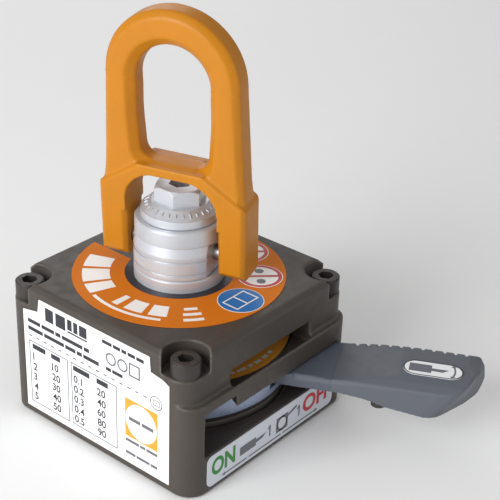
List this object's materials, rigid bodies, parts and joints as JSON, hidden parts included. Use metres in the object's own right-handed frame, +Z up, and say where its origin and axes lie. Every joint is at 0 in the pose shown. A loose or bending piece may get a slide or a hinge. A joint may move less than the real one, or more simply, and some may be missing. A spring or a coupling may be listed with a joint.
{
  "type": "lifting magnet",
  "caption": "Square hand-switched lifting magnet with a sideways-turning lever, a swivelling hoist shackle and a flat magnetic contact face.",
  "frame": {"origin": "swivel axis on the flat magnetic contact face", "axes": "+Z up through the swivel and shackle, -Y towards the face with the lever slot, -X towards the face with the rating label"},
  "size_m": [0.1044, 0.1374, 0.1517],
  "materials": {
    "housing": "satin dark grey-brown powder coat over cast aluminium",
    "steel": "plain machined steel",
    "plate": "ground non-magnetic steel",
    "pole": "ground mild steel",
    "magnet": "nickel plated",
    "glide": "matt low-friction plastic",
    "dark_steel": "blackened spring steel",
    "label_orange": "printed orange film",
    "label_white": "printed white film",
    "label_silver": "printed silver film",
    "zinc": "zinc plated, satin",
    "bronze": "plain bronze",
    "cage": "dull cast",
    "blue_grey": "moulded blue-grey plastic",
    "grip": "satin moulded grey plastic",
    "shackle": "orange enamel on forged steel"
  },
  "bodies": {
    "housing": {"lower_frame": "housing", "housing": "housing", "cover": "housing", "thread_insert": "steel", "base_plate": "plate", "pole_shoes": "pole", "fixed_magnets": "magnet", "glide_ring": "glide", "centre_pin": "steel", "retaining_ring": "dark_steel", "corner_screws": "dark_steel", "ring_label": "label_orange", "side_label": "label_white", "strip_label": "label_silver", "swivel_base": "zinc", "swivel_bolt": "zinc", "swivel_bush": "bronze"},
    "rotor": {"rotor_cage": "cage", "rotor_magnets": "magnet", "rotor_yoke": "dark_steel", "rotor_hub": "blue_grey", "rotor_screws": "dark_steel", "rotor_label": "label_orange", "lever_pin": "steel", "lever_spring": "steel"},
    "lever": {"lever_arm": "blue_grey", "grip": "grip", "grip_screws": "dark_steel", "lever_label": "label_white"},
    "swivel": {"swivel_body": "zinc", "upper_ring": "zinc", "shackle_pins": "steel"},
    "shackle": {"shackle": "shackle"}
  },
  "joints": [
    {"name": "rotor_turn", "type": "hinge", "parent": "housing", "child": "rotor", "pos_m": [0, 0, 0.02], "axis": [0, 0, 1], "range_deg": [-45, 0]},
    {"name": "lever_press", "type": "hinge", "parent": "rotor", "child": "lever", "pos_m": [0.01247, -0.02395, 0.025], "axis": [0.887, 0.4617, 0], "range_deg": [0, 5.5], "stiffness_Nm_per_rad": 3, "springref_deg": -5.73},
    {"name": "swivel_turn", "type": "hinge", "parent": "housing", "child": "swivel", "pos_m": [0, 0, 0.065], "axis": [0, 0, 1], "continuous": true},
    {"name": "shackle_swing", "type": "hinge", "parent": "swivel", "child": "shackle", "pos_m": [0, 0, 0.0652], "axis": [0.2857, -0.9583, 0], "range_deg": [-93.5, 86.5]}
  ]
}
